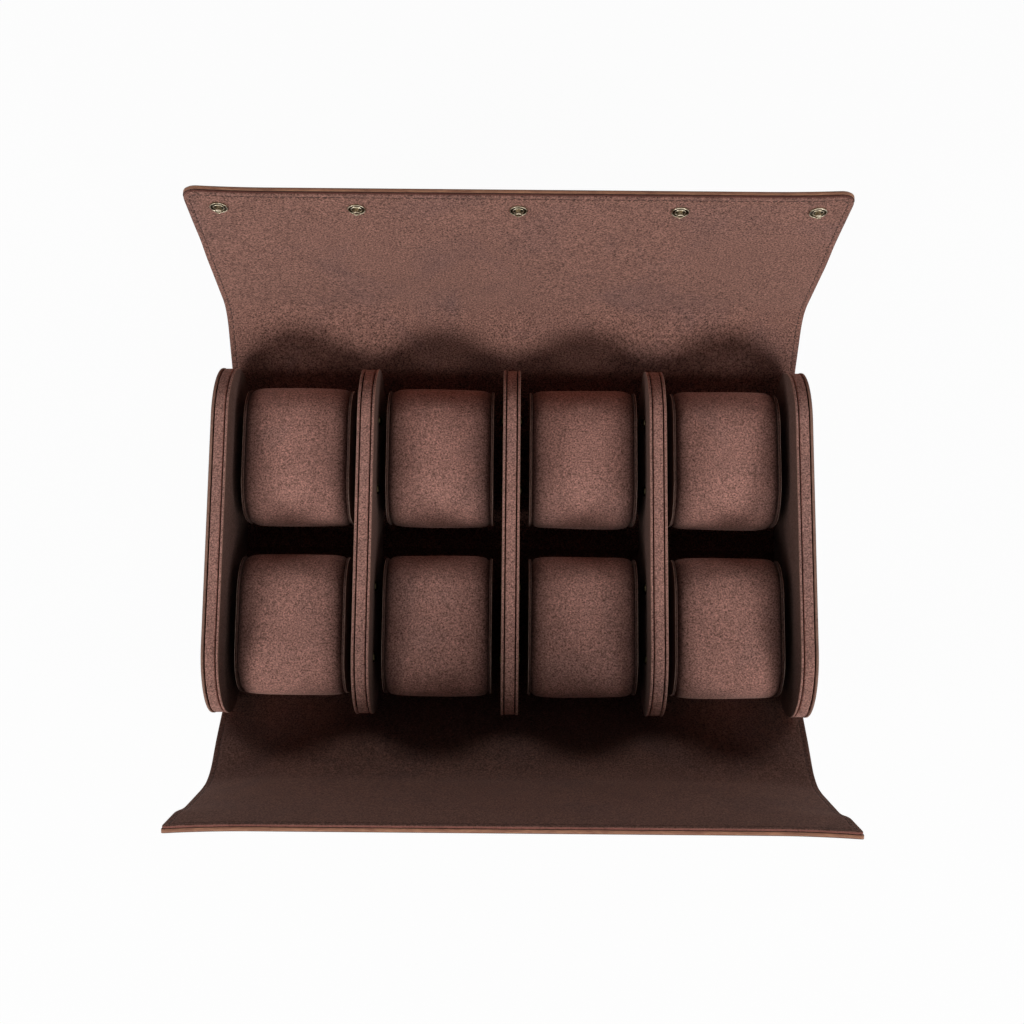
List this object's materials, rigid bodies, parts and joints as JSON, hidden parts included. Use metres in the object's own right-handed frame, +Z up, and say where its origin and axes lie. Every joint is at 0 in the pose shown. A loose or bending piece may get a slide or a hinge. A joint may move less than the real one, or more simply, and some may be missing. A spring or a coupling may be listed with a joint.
{
  "type": "watch display case",
  "caption": "Roll-shaped watch case with a suede-lined leather wrap, upright dividers, crowned watch pillows and two flaps that fold over and snap shut.",
  "frame": {"origin": "centre of the wrap's flat underside, midway between the end panels and midway between their front and rear ends", "axes": "+Z up from the surface the case rests on, +X along the row of compartments to the right as seen from the front, +Y from the front flap to the rear flap"},
  "size_m": [0.264, 0.2463, 0.1406],
  "materials": {
    "outer_leather": "waxed full grain with tan cut edges",
    "suede_lining": "brushed suede",
    "panel_suede": "brushed suede over board",
    "panel_board": "grey board",
    "pillow_foam": "soft foam",
    "pillow_suede": "brushed suede",
    "antique_brass": "antique, dark in the hollows"
  },
  "bodies": {
    "case": {"wrap_base_leather": "outer_leather", "wrap_base_lining": "suede_lining", "left_end_core": "panel_board", "left_end_band": "panel_suede", "left_end_outer_face": "outer_leather", "left_end_inner_face": "panel_suede", "right_end_core": "panel_board", "right_end_band": "panel_suede", "right_end_outer_face": "outer_leather", "right_end_inner_face": "panel_suede", "left_divider_core": "panel_board", "left_divider_band": "panel_suede", "left_divider_faces": "panel_suede", "centre_divider_core": "panel_board", "centre_divider_band": "panel_suede", "centre_divider_faces": "panel_suede", "right_divider_core": "panel_board", "right_divider_band": "panel_suede", "right_divider_faces": "panel_suede", "divider_rivets": "antique_brass"},
    "rear_flap_lower": {"rear_flap_lower_leather": "outer_leather", "rear_flap_lower_lining": "suede_lining"},
    "rear_flap_middle": {"rear_flap_middle_leather": "outer_leather", "rear_flap_middle_lining": "suede_lining"},
    "rear_flap_upper": {"rear_flap_upper_leather": "outer_leather", "rear_flap_upper_lining": "suede_lining", "snap_studs": "antique_brass", "snap_caps": "pillow_suede"},
    "front_flap_lower": {"front_flap_lower_leather": "outer_leather", "front_flap_lower_lining": "suede_lining"},
    "front_flap_middle": {"front_flap_middle_leather": "outer_leather", "front_flap_middle_lining": "suede_lining"},
    "front_flap_upper": {"front_flap_upper_leather": "outer_leather", "front_flap_upper_lining": "suede_lining", "snap_sockets": "antique_brass", "snap_eyelets": "antique_brass"},
    "pillow_rear_1": {"pillow_rear_1_foam": "pillow_foam", "pillow_rear_1_cover": "pillow_suede", "pillow_rear_1_caps": "pillow_suede"},
    "pillow_rear_2": {"pillow_rear_2_foam": "pillow_foam", "pillow_rear_2_cover": "pillow_suede", "pillow_rear_2_caps": "pillow_suede"},
    "pillow_rear_3": {"pillow_rear_3_foam": "pillow_foam", "pillow_rear_3_cover": "pillow_suede", "pillow_rear_3_caps": "pillow_suede"},
    "pillow_rear_4": {"pillow_rear_4_foam": "pillow_foam", "pillow_rear_4_cover": "pillow_suede", "pillow_rear_4_caps": "pillow_suede"},
    "pillow_front_1": {"pillow_front_1_foam": "pillow_foam", "pillow_front_1_cover": "pillow_suede", "pillow_front_1_caps": "pillow_suede"},
    "pillow_front_2": {"pillow_front_2_foam": "pillow_foam", "pillow_front_2_cover": "pillow_suede", "pillow_front_2_caps": "pillow_suede"},
    "pillow_front_3": {"pillow_front_3_foam": "pillow_foam", "pillow_front_3_cover": "pillow_suede", "pillow_front_3_caps": "pillow_suede"},
    "pillow_front_4": {"pillow_front_4_foam": "pillow_foam", "pillow_front_4_cover": "pillow_suede", "pillow_front_4_caps": "pillow_suede"}
  },
  "joints": [
    {"name": "rear_flap_fold", "type": "hinge", "parent": "case", "child": "rear_flap_lower", "pos_m": [0, 0.07618, 0.01469], "axis": [-1, 0, 0], "range_deg": [-32.5, 29.5]},
    {"name": "rear_flap_middle_crease", "type": "hinge", "parent": "rear_flap_lower", "child": "rear_flap_middle", "pos_m": [0, 0.09019, 0.02645], "axis": [-1, 0, 0], "range_deg": [-32.55, 29.55]},
    {"name": "rear_flap_upper_crease", "type": "hinge", "parent": "rear_flap_middle", "child": "rear_flap_upper", "pos_m": [0, 0.10863, 0.05923], "axis": [-1, 0, 0], "range_deg": [-27.57, 25.03]},
    {"name": "front_flap_fold", "type": "hinge", "parent": "case", "child": "front_flap_lower", "pos_m": [0, -0.07618, 0.01469], "axis": [1, 0, 0], "range_deg": [-32.5, 29.5]},
    {"name": "front_flap_middle_crease", "type": "hinge", "parent": "front_flap_lower", "child": "front_flap_middle", "pos_m": [0, -0.09019, 0.02645], "axis": [1, 0, 0], "range_deg": [-32.55, 29.55]},
    {"name": "front_flap_upper_crease", "type": "hinge", "parent": "front_flap_middle", "child": "front_flap_upper", "pos_m": [0, -0.10903, 0.05837], "axis": [1, 0, 0], "range_deg": [-33.75, 30.64]},
    {"name": "pillow_rear_1_lift", "type": "slide", "parent": "case", "child": "pillow_rear_1", "axis": [0, 0, 1], "range_m": [0, 0.062]},
    {"name": "pillow_rear_2_lift", "type": "slide", "parent": "case", "child": "pillow_rear_2", "axis": [0, 0, 1], "range_m": [0, 0.062]},
    {"name": "pillow_rear_3_lift", "type": "slide", "parent": "case", "child": "pillow_rear_3", "axis": [0, 0, 1], "range_m": [0, 0.062]},
    {"name": "pillow_rear_4_lift", "type": "slide", "parent": "case", "child": "pillow_rear_4", "axis": [0, 0, 1], "range_m": [0, 0.062]},
    {"name": "pillow_front_1_lift", "type": "slide", "parent": "case", "child": "pillow_front_1", "axis": [0, 0, 1], "range_m": [0, 0.062]},
    {"name": "pillow_front_2_lift", "type": "slide", "parent": "case", "child": "pillow_front_2", "axis": [0, 0, 1], "range_m": [0, 0.062]},
    {"name": "pillow_front_3_lift", "type": "slide", "parent": "case", "child": "pillow_front_3", "axis": [0, 0, 1], "range_m": [0, 0.062]},
    {"name": "pillow_front_4_lift", "type": "slide", "parent": "case", "child": "pillow_front_4", "axis": [0, 0, 1], "range_m": [0, 0.062]}
  ],
  "couplings": [
    {"joint": "rear_flap_middle_crease", "follows": "rear_flap_fold", "ratio": 1},
    {"joint": "rear_flap_upper_crease", "follows": "rear_flap_fold", "ratio": 0.84682},
    {"joint": "front_flap_middle_crease", "follows": "front_flap_fold", "ratio": 1},
    {"joint": "front_flap_upper_crease", "follows": "front_flap_fold", "ratio": 1.0369}
  ]
}
